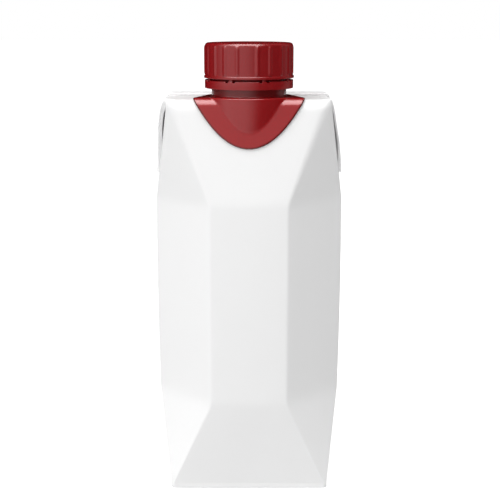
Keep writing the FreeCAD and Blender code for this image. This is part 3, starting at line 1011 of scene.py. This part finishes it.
@dataclass
class SpoutCollar:
    """The moulding bonded over the front top edge: bib, flange, conical boss and neck."""

    carton: Carton
    # the neck
    setback: float = 10.8
    neck_radius: float = 13.1
    neck_top: float = 160.6
    neck_root: float = 2.0
    neck_turn: float = 148.8
    neck_lean: float = 0.27
    neck_draw: float = 0.8
    neck_round: float = 0.3
    neck_fillet: float = 0.35
    # the flange over the top edge, and its ledge round the neck
    ledge: float = 2.4
    flange_rise: float = 0.7
    flange_past: float = 0.5
    wall: float = 0.9
    turn_round: float = 3.1
    edge_round: float = 0.4
    # the bib down the front panel
    bib_half: float = 19.1
    bib_drop: float = 16.7
    bib_power: float = 2.05
    bib_behind: float = 0.6
    # the conical boss under the neck
    boss_drop: float = 16.0
    boss_taper: float = 13.95
    boss_proud: float = 0.8
    boss_behind: float = 1.2
    boss_fillet: float = 0.25
    sink: float = 0.1
    # painted shade that darkens the colour: on the bib's rim, on the ledge, and on the neck under the cap
    rim_wide: float = 0.8
    rim_full: float = 0.3
    ledge_shade: float = 0.75
    neck_shade: float = 0.65
    # the mesh
    cell: float = 0.36
    room: float = 1.3

    @property
    def axis(self) -> float:
        """Place of the neck's axis along Y."""
        return self.setback - self.carton.top_half

    @property
    def flange_top(self) -> float:
        """Height of the flange's upper face."""
        return self.carton.front_height + self.flange_rise

    def distance(self, points: Array) -> Array:
        """Distance from the moulding's surface, below 0 inside it.

        Args:
            points: one row of x, y and z for each point.

        Returns:
            The distance of each point.
        """
        x, y, z = points.T
        carton = self.carton
        squash = 1 / math.hypot(1, carton.panel_slope)
        drop = carton.front_height - z
        before_panel = (-y - carton.top_half - carton.panel_slope * drop) * squash
        around = np.hypot(x, y - self.axis)
        boss_radius = self.neck_radius + self.ledge

        outer = rounded_both(before_panel - self.wall, z - self.flange_top, self.turn_round)
        bib = self._bib(x, drop)
        plan = self._flange_plan(np.abs(x), y, boss_radius)
        outline = np.where(before_panel > -self.bib_behind, bib, np.maximum(bib, plan))
        skin = rounded_both(outer, outline, self.edge_round)

        lean = math.radians(self.boss_taper)
        cone = around - boss_radius - self.boss_proud + (self.flange_top - z) * math.tan(lean)
        cone = np.maximum(cone * math.cos(lean), -before_panel - self.boss_behind)
        ends = np.maximum(z - self.flange_top, self.flange_top - self.boss_drop - z)
        boss = rounded_both(cone, ends, self.edge_round)

        drawn_in = np.clip((z - self.neck_turn) * self.neck_lean, 0, self.neck_draw)
        side = (around - self.neck_radius + drawn_in) / math.hypot(1, self.neck_lean)
        ends = np.maximum(z - self.neck_top, carton.front_height - self.neck_root - z)
        neck = rounded_both(side, ends, self.neck_round)

        whole = filleted_join(skin, boss, self.boss_fillet)
        whole = filleted_join(whole, neck, self.neck_fillet)
        pack = np.maximum(before_panel + carton.bend(drop) * squash, z - carton.top_at(y))
        return np.maximum(whole, -(pack + self.sink))

    def _bib(self, x: Array, drop: Array) -> Array:
        """Distance along the panel from the bib's curved lower edge.

        Args:
            x: distance to the side.
            drop: distance below the front edge.

        Returns:
            The distance, above 0 outside the bib.
        """
        side = np.abs(x) / self.bib_half
        steep = self.bib_drop * self.bib_power / self.bib_half * side ** (self.bib_power - 1)
        return (drop - self.bib_drop * (1 - side ** self.bib_power)) / np.hypot(1, steep)

    def _flange_plan(self, side: Array, y: Array, radius: float) -> Array:
        """Distance in plan from the flange's outline, from its tips round the neck.

        Args:
            side: distance to either side.
            y: place along Y.
            radius: the flange's radius round the neck.

        Returns:
            The distance, above 0 outside the flange.
        """
        front = -(self.carton.top_half - self.carton.edge_round)
        tip = np.array([self.bib_half + self.flange_past, front])
        to_axis = np.array([0.0, self.axis]) - tip
        reach = np.linalg.norm(to_axis)
        swing = math.asin(radius / reach)
        base = math.atan2(to_axis[1], to_axis[0])
        edge = np.array([math.cos(base - swing), math.sin(base - swing)])
        outward = np.array([edge[1], -edge[0]])
        line = (side - tip[0]) * outward[0] + (y - tip[1]) * outward[1]
        touch = tip + edge * math.sqrt(reach ** 2 - radius ** 2)
        round_end = np.hypot(side, y - self.axis) - radius
        return np.where(y > touch[1], round_end, line)

    def _shade_amount(self, points: Array) -> Array:
        """How much painted shade each point gets: most at the bib's edge, less on the ledge and under the
        cap.

        Args:
            points: one row of x, y and z for each point.

        Returns:
            A number from 0 to 1 for each point.
        """
        x, y, z = points.T
        behind = y + self.carton.top_half  # each mask below blends in over a millimetre or less
        # painted shade: a dark line along the bib's edge, shade on the ledge under the cap, and shade on the
        # neck below the band
        rim = self._bib(x, self.carton.front_height - z)
        edge = smooth_step(-self.rim_wide, -self.rim_full * self.rim_wide, rim) * (behind < 2.0)
        level = smooth_step(0.55, 0.2, np.abs(z - self.flange_top))
        ledge = self.ledge_shade * level * smooth_step(0.6, 1.6, behind)
        above = smooth_step(self.flange_top, self.flange_top + 0.4, z)
        below = smooth_step(self.neck_turn, self.neck_turn - 1.5, z)
        near = np.hypot(x, y - self.axis) < self.neck_radius + 1.0
        return np.maximum.reduce([edge, ledge, self.neck_shade * above * below * near])

    def build(self, plastic: bpy.types.Material) -> None:
        """Make the moulding and fix it in place.

        Args:
            plastic: the piece's material.
        """
        low, high = (np.array(corner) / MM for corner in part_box("spout_collar"))
        points, faces = skin_form(self.distance, low - self.room, high + self.room, self.cell)
        piece = make_piece("collar_moulding", points, faces, plastic, Shading.CREASED, crease_angle=55.0)
        # painted shade: darkens the colour at the bib's rim, on the ledge and on the neck under the cap
        paint(piece, "sheltered", self._shade_amount(places(piece)))
        wrap_up(piece, "collar_plastic", "spout_collar")


def spin(profile: Array, columns: int, centre: float, base: float) -> tuple[Array, list[list[int]]]:
    """Turn a profile round the neck's axis.

    Args:
        profile: radius and height of each point; both ends may lie on the axis.
        columns: the number of steps round.
        centre: place of the axis along Y.
        base: the height that the profile's heights are measured from.

    Returns:
        The points and the faces.
    """
    turns = np.arange(columns) * 2 * math.pi / columns
    points = np.concatenate([
        np.column_stack([radius * np.cos(turns), centre + radius * np.sin(turns),
                         np.full(columns, base + height)]) for radius, height in profile])
    count = len(profile)
    closed = profile[0][0] > TINY
    faces = []
    for row in range(count if closed else count - 1):
        above = (row + 1) % count
        low, high = row * columns, above * columns
        for i in range(columns):
            j = (i + 1) % columns
            face = [low + i, low + j, high + j, high + i]
            if profile[row][0] < TINY:
                face = [low, high + j, high + i]
            elif profile[above][0] < TINY:
                face = [low + i, low + j, high]
            faces.append(face)
    return points, faces


def radial_pattern_tree() -> bpy.types.NodeTree:
    """Geometry nodes that raise or sink equal marks round a turned piece.

    The marks stand in four mirrored quarters. Each quarter starts at an angle from the front and
    goes on in equal steps.

    Returns:
        The geometry nodes.
    """
    floats, whole = "NodeSocketFloat", "NodeSocketInt"
    inputs = {
        "Geometry": ("NodeSocketGeometry", None), "Count": (whole, 5), "First": (floats, 0.2),
        "Step": (floats, 0.3), "Turn": (floats, 0.0), "Rise": (floats, 0.0003),
        "Half Width": (floats, 0.00045), "Shoulder": (floats, 0.0002), "Low": (floats, 0.0),
        "High": (floats, 0.01), "End": (floats, 0.0004), "Axis Y": (floats, 0.0),
        "Inner": (floats, 0.014), "Material": ("NodeSocketMaterial", None),
    }
    wiring, inlet, outlet = new_group("marks_round_a_turned_piece", "GeometryNodeTree", inputs,
                                      {"Geometry": "NodeSocketGeometry"})
    given = inlet.outputs
    position = wiring.add("GeometryNodeInputPosition").outputs[0]
    parts = wiring.add("ShaderNodeSeparateXYZ", {0: position}).outputs
    y = wiring.math("SUBTRACT", parts[1], given["Axis Y"])
    squares = wiring.math("ADD", wiring.math("MULTIPLY", parts[0], parts[0]), wiring.math("MULTIPLY", y, y))
    radius = wiring.math("SQRT", squares)
    angle = wiring.math("ARCTAN2", parts[0], wiring.math("MULTIPLY", y, -1.0))
    turned = wiring.math("WRAP", wiring.math("SUBTRACT", angle, given["Turn"]), math.pi, -math.pi)
    turned = wiring.math("ABSOLUTE", turned)
    folded = wiring.math("MINIMUM", turned, wiring.math("SUBTRACT", math.pi, turned))
    past_first = wiring.math("SUBTRACT", folded, given["First"])
    nearest = wiring.math("ROUND", wiring.math("DIVIDE", past_first, given["Step"]))
    last = wiring.math("SUBTRACT", given["Count"], 1.0)
    held = wiring.math("MAXIMUM", wiring.math("MINIMUM", nearest, last), 0.0)
    mark = wiring.math("ADD", given["First"], wiring.math("MULTIPLY", held, given["Step"]))
    away = wiring.math("MULTIPLY", wiring.math("ABSOLUTE", wiring.math("SUBTRACT", folded, mark)), radius)
    across = wiring.step(away, wiring.math("SUBTRACT", given["Half Width"], given["Shoulder"]),
                         wiring.math("ADD", given["Half Width"], given["Shoulder"]), 1.0, 0.0)
    up = wiring.step(parts[2], given["Low"], wiring.math("ADD", given["Low"], given["End"]))
    down = wiring.step(parts[2], wiring.math("SUBTRACT", given["High"], given["End"]), given["High"],
                       1.0, 0.0)
    outside = wiring.math("GREATER_THAN", radius, given["Inner"])
    share = given["Rise"]
    for mask in (across, up, down, outside):
        share = wiring.math("MULTIPLY", share, mask)
    move = wiring.math("DIVIDE", share, radius)
    offset = wiring.add("ShaderNodeCombineXYZ", {0: wiring.math("MULTIPLY", parts[0], move),
                                                 1: wiring.math("MULTIPLY", y, move), 2: 0.0}).outputs[0]
    moved = wiring.add("GeometryNodeSetPosition", {"Geometry": given["Geometry"], "Offset": offset})
    real = wiring.add("GeometryNodeRealizeInstances", {0: moved.outputs[0]})
    dressed = wiring.add("GeometryNodeSetMaterial", {"Geometry": real.outputs[0],
                                                     "Material": given["Material"]})
    link_out(wiring, outlet, Geometry=dressed.outputs[0])
    return wiring.tree


def bridge_tree() -> bpy.types.NodeTree:
    """Geometry nodes that stand copies of a small block in a circle, beside the piece itself.

    Returns:
        The geometry nodes.
    """
    floats = "NodeSocketFloat"
    inputs = {
        "Geometry": ("NodeSocketGeometry", None), "Block": ("NodeSocketObject", None),
        "Count": ("NodeSocketInt", 8), "Radius": (floats, 0.0146), "Height": (floats, 0.15),
        "Axis Y": (floats, 0.0), "Turn": (floats, 0.0), "Material": ("NodeSocketMaterial", None),
    }
    wiring, inlet, outlet = new_group("bridges_in_a_circle", "GeometryNodeTree", inputs,
                                      {"Geometry": "NodeSocketGeometry"})
    given = inlet.outputs
    circle = wiring.add("GeometryNodeMeshCircle", {"Vertices": given["Count"], "Radius": given["Radius"]})
    block = wiring.add("GeometryNodeObjectInfo", {"Object": given["Block"]}, transform_space="ORIGINAL")
    index = wiring.add("GeometryNodeInputIndex").outputs[0]
    angle = wiring.math("DIVIDE", wiring.math("MULTIPLY", index, 2 * math.pi), given["Count"])
    facing = wiring.add("ShaderNodeCombineXYZ", {0: 0.0, 1: 0.0, 2: wiring.math("ADD", angle, math.pi / 2)})
    placed = wiring.add("GeometryNodeInstanceOnPoints", {
        "Points": circle.outputs[0], "Instance": block.outputs["Geometry"], "Rotation": facing.outputs[0]})
    place = wiring.add("ShaderNodeCombineXYZ", {0: 0.0, 1: given["Axis Y"], 2: given["Height"]})
    spun = wiring.add("ShaderNodeCombineXYZ", {0: 0.0, 1: 0.0, 2: given["Turn"]})
    moved = wiring.add("GeometryNodeTransform", {
        "Geometry": placed.outputs[0], "Translation": place.outputs[0], "Rotation": spun.outputs[0]})
    joined = wiring.add("GeometryNodeJoinGeometry")
    wiring.tree.links.new(moved.outputs[0], joined.inputs[0])
    wiring.tree.links.new(given["Geometry"], joined.inputs[0])
    real = wiring.add("GeometryNodeRealizeInstances", {0: joined.outputs[0]})
    dressed = wiring.add("GeometryNodeSetMaterial", {"Geometry": real.outputs[0],
                                                     "Material": given["Material"]})
    link_out(wiring, outlet, Geometry=dressed.outputs[0])
    return wiring.tree


def apply_tree(piece: bpy.types.Object, tree: bpy.types.NodeTree, values: dict[str, object]) -> None:
    """Run geometry nodes on a piece and keep their result as its plain mesh.

    Args:
        piece: the object to change.
        tree: the geometry nodes.
        values: what each named input gets.
    """
    modifier = piece.modifiers.new(tree.name, "NODES")
    modifier.node_group = tree
    sockets = {item.name: item.identifier for item in tree.interface.items_tree
               if item.item_type == "SOCKET" and item.in_out == "INPUT"}
    for label, value in values.items():
        modifier[sockets[label]] = value
    evaluated = piece.evaluated_get(bpy.context.evaluated_depsgraph_get())
    mesh = bpy.data.meshes.new_from_object(evaluated)
    piece.modifiers.remove(modifier)
    old = piece.data
    piece.data = mesh
    mesh.name = piece.name
    bpy.data.meshes.remove(old)


@dataclass
class TamperBand:
    """The ring under the cap, with the thin bridges that tear when it is first opened."""

    collar: SpoutCollar
    bottom: float = 146.3
    tall: float = 2.8
    outer: float = 15.5
    clearance: float = 0.3
    edge: float = 0.1
    columns: int = 720
    # the bridges
    bridge_count: int = 8
    bridge_wide: float = 1.5
    bridge_deep: float = 0.8
    bridge_tall: float = 0.8
    bridge_inset: float = 0.4
    bridge_turn: float = 20.25
    bridge_sink: float = 0.15
    bridge_over: float = 0.05
    bridge_cut: float = 0.12
    # the notches beside them
    notch_deep: float = 0.45
    notch_from: float = 0.75
    notch_to: float = 1.9
    notch_blend: float = 0.2

    def build(self, plastic: bpy.types.Material, bridges: bpy.types.NodeTree) -> None:
        """Make the ring, stand the bridges on it and fix it in place.

        Args:
            plastic: the piece's material.
            bridges: the geometry nodes that stand blocks in a circle.
        """
        inner = self.collar.neck_radius + self.clearance
        corners = ((inner, 0.0), (self.outer, 0.0), (self.outer, self.tall), (inner, self.tall))
        start = (inner, self.tall / 2, 0.0)
        profile = soften([start, *((*corner, self.edge) for corner in corners), start], steps=4)[:-1]
        points, faces = spin(profile, self.columns, self.collar.axis, self.bottom)
        points[:, 2] -= self.notch_deep * self._notched(points)
        ring = make_piece("tamper_ring", points, faces, plastic, Shading.CREASED, crease_angle=50.0)
        block = self._bridge_block(plastic)
        apply_tree(ring, bridges, {
            "Block": block, "Count": self.bridge_count,
            "Radius": (self.outer - self.bridge_inset - self.bridge_deep / 2) * MM,
            "Height": (self.bottom + self.tall) * MM, "Axis Y": self.collar.axis * MM,
            "Turn": math.radians(self.bridge_turn), "Material": plastic,
        })
        bpy.data.objects.remove(block)
        wrap_up(ring, "band_plastic", "tamper_band")

    def _notched(self, points: Array) -> Array:
        """Find the ring's upper edge just beside each bridge.

        Args:
            points: one row of x, y and z for each point.

        Returns:
            A number from 0 to 1 for each point.
        """
        step = 2 * math.pi / self.bridge_count
        turn = np.arctan2(points[:, 0], self.collar.axis - points[:, 1]) - math.radians(self.bridge_turn)
        along = self.outer * np.abs((turn + step / 2) % step - step / 2)
        beside = smooth_step(self.notch_from, self.notch_from + self.notch_blend, along)
        beside = beside * smooth_step(self.notch_to, self.notch_to - self.notch_blend, along)
        return beside * (points[:, 2] > self.bottom + self.tall * 0.75)

    def _bridge_block(self, plastic: bpy.types.Material) -> bpy.types.Object:
        """One bridge: a small post that is thinnest where it tears.

        Args:
            plastic: the piece's material.

        Returns:
            The block, standing at the origin.
        """
        rows = ((-self.bridge_sink, 1.0), (0.0, 1.0), (self.bridge_tall * 0.7, 0.85),
                (self.bridge_tall + self.bridge_over, 0.75))
        cut = self.bridge_cut
        rings = []
        for height, share in rows:
            wide, deep = self.bridge_wide / 2 * share, self.bridge_deep / 2 * share
            corners = [(wide - cut, -deep), (wide, -deep + cut), (wide, deep - cut), (wide - cut, deep)]
            corners += [(-x, y) for x, y in reversed(corners)]
            rings.append(np.array([(x, y, height) for x, y in corners]))
        points, faces = loft(rings)
        return make_piece("bridge_block", points, faces, plastic, Shading.CREASED, crease_angle=50.0)


@dataclass
class ScrewCap:
    """The cap: a cup with a lip and grip ribs in four mirrored quarters."""

    collar: SpoutCollar
    bottom: float = 149.8
    tall: float = 12.1
    radius: float = 15.42
    bore: float = 14.0
    roof: float = 1.3
    dish: float = 0.15
    top_round: float = 1.1
    rim_wide: float = 1.9
    rim_slope: float = 0.7
    lip_rise: float = 0.33
    lip_tall: float = 0.85
    lip_slope: float = 0.1
    columns: int = 720
    # the grip ribs, with their places as angles from the front
    rib_rise: float = 0.32
    rib_half: float = 0.55
    rib_shoulder: float = 0.5
    rib_first: float = 13.0
    rib_step: float = 17.1
    rib_count: int = 5
    rib_gap: float = 0.1
    rib_over: float = 0.3
    rib_end: float = 0.5
    rib_skin: float = 0.2
    turn: float = -2.25

    def build(self, plastic: bpy.types.Material, marks: bpy.types.NodeTree) -> None:
        """Make the cap, raise its ribs and fix it in place.

        Args:
            plastic: the piece's material.
            marks: the geometry nodes that raise marks round a turned piece.
        """
        lip = self.radius + self.lip_rise
        inner_top = self.tall - self.roof
        rim = self.radius - self.rim_wide
        profile = soften([
            (0.0, self.tall - self.dish, 0.0),
            (rim - self.rim_slope, self.tall - self.dish, 1.5),
            (rim, self.tall, 1.0),
            (self.radius, self.tall, self.top_round),
            (self.radius, self.lip_tall, 0.3),
            (lip, self.lip_tall - self.lip_slope, 0.12),
            (lip, 0.0, 0.15),
            (self.bore, 0.0, 0.2),
            (self.bore, inner_top, 0.3),
            (0.0, inner_top, 0.0),
        ], steps=7)
        points, faces = spin(split_long(profile, longest=0.8), self.columns, self.collar.axis, self.bottom)
        cap = make_piece("screw_cap_shell", points, faces, plastic, Shading.CREASED, crease_angle=50.0)
        apply_tree(cap, marks, {
            "Count": self.rib_count, "First": math.radians(self.rib_first),
            "Step": math.radians(self.rib_step), "Turn": math.radians(self.turn),
            "Rise": self.rib_rise * MM, "Half Width": self.rib_half * MM,
            "Shoulder": self.rib_shoulder * MM, "End": self.rib_end * MM,
            "Low": (self.bottom + self.lip_tall + self.rib_gap) * MM,
            "High": (self.bottom + self.tall - self.top_round + self.rib_over) * MM,
            "Inner": (self.radius - self.rib_skin) * MM, "Axis Y": self.collar.axis * MM,
            "Material": plastic,
        })
        wrap_up(cap, "cap_plastic", "screw_cap")


# --- studio -----------------------------------------------------------------------------------


@dataclass(frozen=True)
class SoftLamp:
    """A flat studio lamp that points at the pack; its sizes are in metres and its power in watts."""

    name: str
    place: tuple[float, float, float]
    wide: float
    tall: float
    power: float
    only_mirrored: bool = False

    def hang(self, target: Vector) -> None:
        """Add the lamp to the scene, pointing at the target.

        Args:
            target: the point that the lamp faces.
        """
        data = bpy.data.lights.new(self.name, "AREA")
        data.shape = "RECTANGLE"
        data.size, data.size_y = self.wide, self.tall
        data.energy = self.power
        lamp = bpy.data.objects.new(self.name, data)
        lamp.location = self.place
        lamp.rotation_euler = (target - Vector(self.place)).to_track_quat("-Z", "Y").to_euler()
        lamp.visible_diffuse = not self.only_mirrored
        bpy.context.scene.collection.objects.link(lamp)


@dataclass
class Studio:
    """The camera, the lamps, the pale floor and the white surroundings, in metres and degrees.

    The wall's glow is given at angles from the front. Each row of its profile is a distance from
    the pack's axis, a share of the wall's height, and how much the glow gains there.
    """

    # the camera
    eye: tuple[float, float, float] = (0.0, -0.4079, 0.1730)
    pitch: float = 12.32
    lens: float = 79.2
    sensor: float = 36.0
    side_shift: float = 0.002
    # the lights
    ambient: float = 0.605
    lamps: tuple[SoftLamp, ...] = (
        SoftLamp("key_lamp", (-1.53, -1.27, 1.32), 2.0, 2.0, 21.4),
        SoftLamp("top_lamp", (0.0, -0.5, 1.9), 2.0, 1.2, 17.5),
        SoftLamp("gloss_lamp", (-0.14, -0.40, 1.25), 1.4, 1.2, 37.0, True),
    )
    aim: tuple[float, float, float] = (0.0, 0.0, 0.08)
    # the floor
    floor_grey: float = 0.56
    floor_glow: float = 0.78
    floor_reach: float = 6.0
    # the wall
    wall_front: float = 0.33
    wall_back: float = 1.4
    wall_climb: tuple[float, float] = (35.0, 60.0)
    wall_left: float = 45.0
    wall_glow: tuple[tuple[float, float], ...] = (
        (-180, 0.0), (-115, 0.0), (-95, 0.12), (-78, 0.5), (-62, 1.0), (-14, 1.0), (-5, 0.92), (4, 0.68),
        (13, 0.42), (22, 0.12), (30, 0.0), (90, 0.0), (108, 0.22), (119, 0.28), (131, 0.08), (150, 0.0),
        (180, 0.0),
    )
    wall_profile: tuple[tuple[float, float, float], ...] = (
        (0.1, 0.0, 1.0), (0.2, 0.0, 1.2), (0.27, 0.0, 1.65), (0.45, 0.0, 1.65),
        (0.45, 0.06, 1.0), (0.45, 0.3, 1.0), (0.45, 0.6, 1.4), (0.45, 1.0, 1.4),
    )

    def set_camera(self) -> None:
        """Place the camera and make it the scene's own."""
        data = bpy.data.cameras.new("front_camera")
        data.lens = self.lens
        data.sensor_width = self.sensor
        data.shift_x = self.side_shift
        camera = bpy.data.objects.new("front_camera", data)
        camera.location = self.eye
        camera.rotation_euler = (math.radians(90 - self.pitch), 0, 0)
        bpy.context.scene.collection.objects.link(camera)
        bpy.context.scene.camera = camera

    @staticmethod
    def _seen_directly(wiring: Wiring) -> bpy.types.NodeSocket:
        """Tell what the eye sees from what only lights the pack.

        Args:
            wiring: the material's or the world's wiring.

        Returns:
            1 for what is seen straight, mirrored or through glass, and 0 for lighting.
        """
        path = wiring.add("ShaderNodeLightPath").outputs
        seen = wiring.math("MAXIMUM", path["Is Camera Ray"], path["Is Glossy Ray"])
        return wiring.math("MAXIMUM", seen, path["Is Transmission Ray"])

    def set_world(self) -> None:
        """White surroundings that light the pack evenly and softly."""
        world = bpy.data.worlds.new("white_room")
        bpy.context.scene.world = world
        world.use_nodes = True
        world.node_tree.nodes.clear()
        wiring = Wiring(world.node_tree)
        seen = self._seen_directly(wiring)
        strength = wiring.math("ADD", self.ambient, wiring.math("MULTIPLY", seen, 1 - self.ambient))
        glow = wiring.add("ShaderNodeBackground", {"Color": (1, 1, 1, 1), "Strength": strength})
        outlet = wiring.add("ShaderNodeOutputWorld")
        wiring.tree.links.new(glow.outputs[0], outlet.inputs["Surface"])

    def lay_floor(self) -> None:
        """A wide pale floor that keeps the pack's shadow."""
        material, wiring, outlet = new_material("pale_floor")
        matt = wiring.add("ShaderNodeBsdfDiffuse", {"Color": (*[self.floor_grey] * 3, 1)})
        strength = wiring.math("MULTIPLY", self._seen_directly(wiring), self.floor_glow)
        glow = wiring.add("ShaderNodeEmission", {"Color": (1, 1, 1, 1), "Strength": strength})
        both = wiring.add("ShaderNodeAddShader", {0: matt.outputs[0], 1: glow.outputs[0]})
        wiring.tree.links.new(both.outputs[0], outlet.inputs["Surface"])
        corners = np.array([(-1, -1, 0), (1, -1, 0), (1, 1, 0), (-1, 1, 0)]) * self.floor_reach / MM
        floor = make_piece("studio_floor", corners, [[0, 1, 2, 3]], material)
        if floor.data.polygons[0].normal.z < 0:
            floor.data.flip_normals()

    def stand_wall(self) -> None:
        """A graded wall round the pack, white in front and dark elsewhere, which only gloss mirrors."""
        material, wiring, outlet = new_material("graded_wall")
        glow = wiring.add("ShaderNodeAttribute", attribute_name="glow").outputs["Fac"]
        light = wiring.add("ShaderNodeEmission", {"Color": (1, 1, 1, 1), "Strength": glow})
        wiring.tree.links.new(light.outputs[0], outlet.inputs["Surface"])
        turns = np.arange(0, 360, 3.0)
        from_front = (turns + 180) % 360 - 180
        strength = np.interp(from_front, *zip(*self.wall_glow))
        leftward = -from_front - self.wall_left
        climb = smooth_step(*self.wall_climb, np.where(from_front < 0, leftward, from_front))
        tops = self.wall_front + (self.wall_back - self.wall_front) * climb
        around = np.column_stack([np.sin(np.radians(turns)), -np.cos(np.radians(turns))]) / MM
        above_floor = 0.002
        rings = [np.column_stack([around * reach, np.maximum(share * tops, above_floor) / MM])
                 for reach, share, _ in self.wall_profile]
        points, faces = loft(rings, first=False, last=False)
        wall = make_piece("studio_wall", points, faces, material)
        paint(wall, "glow", np.concatenate([strength * gain for *_, gain in self.wall_profile]))
        for ray in ("camera", "diffuse", "transmission", "volume_scatter", "shadow"):
            setattr(wall, f"visible_{ray}", False)

    def build(self) -> None:
        """Set up everything round the pack."""
        self.set_camera()
        self.set_world()
        self.lay_floor()
        self.stand_wall()
        for lamp in self.lamps:
            lamp.hang(Vector(self.aim))
        bpy.context.scene.view_settings.view_transform = "Standard"


def main() -> None:
    """Build the studio and the pack."""
    logging.basicConfig(level=logging.INFO, format="%(name)s: %(message)s")
    Studio().build()
    mottle = mottle_group()
    # painted light: the collar's red is set lighter than the cap's, standing in for the extra light that
    # falls on the bib
    collar_red = MouldedPlastic("collar_red", (0.315, 0.0045, 0.0065)).dress(mottle)
    band_red = MouldedPlastic("band_red", (0.26, 0.004, 0.006)).dress(mottle)
    cap_red = MouldedPlastic("cap_red", (0.25, 0.004, 0.006)).dress(mottle)
    carton = Carton()
    carton.build(CoatedBoard().dress(mottle))
    collar = SpoutCollar(carton)
    collar.build(collar_red)
    TamperBand(collar).build(band_red, bridge_tree())
    ScrewCap(collar).build(cap_red, radial_pattern_tree())


if __name__ == "__main__":
    main()
